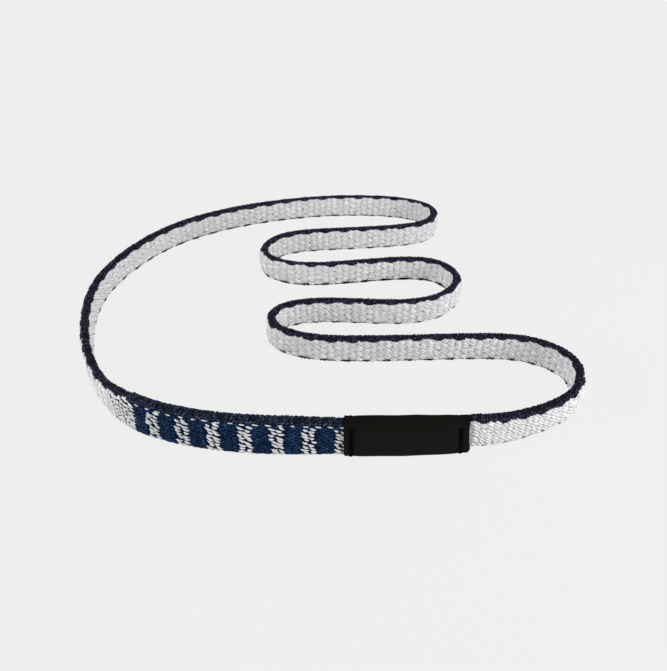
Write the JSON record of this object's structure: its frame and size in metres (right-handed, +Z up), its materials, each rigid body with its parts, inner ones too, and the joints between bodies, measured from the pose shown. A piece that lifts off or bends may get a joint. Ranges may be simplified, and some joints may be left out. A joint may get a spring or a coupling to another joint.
{
  "type": "climbing sling",
  "caption": "Short sewn climbing sling of narrow white webbing with navy edges, a banded hollow end and a black folded label, standing on its edge in a loose zigzag.",
  "frame": {"origin": "on the floor, at the middle of the object's box", "axes": "+X to the right seen from the label's side, +Y from the label towards the back of the loop, +Z up, across the webbing"},
  "size_m": [0.1336, 0.1234, 0.0103],
  "materials": {
    "white_webbing": "twill-woven high-strength polyethylene yarn, soft sheen",
    "navy_selvedge": "matt woven nylon edge yarn",
    "patterned_weave": "blue woven yarn with white zigzag bands",
    "joint_thread": "twisted sewing thread",
    "black_label": "fine satin-woven label tape, bare",
    "label_thread": "twisted black sewing thread"
  },
  "bodies": {
    "root": {"web_ground": "white_webbing", "upper_selvedge": "navy_selvedge", "lower_selvedge": "navy_selvedge", "patterned_sleeve": "patterned_weave", "bar_tack_1": "joint_thread", "bar_tack_2": "joint_thread", "bar_tack_3": "joint_thread", "bar_tack_4": "joint_thread", "bar_tack_5": "joint_thread", "label_sleeve": "black_label", "label_seam_right": "label_thread", "label_seam_left": "label_thread"}
  },
  "joints": []
}
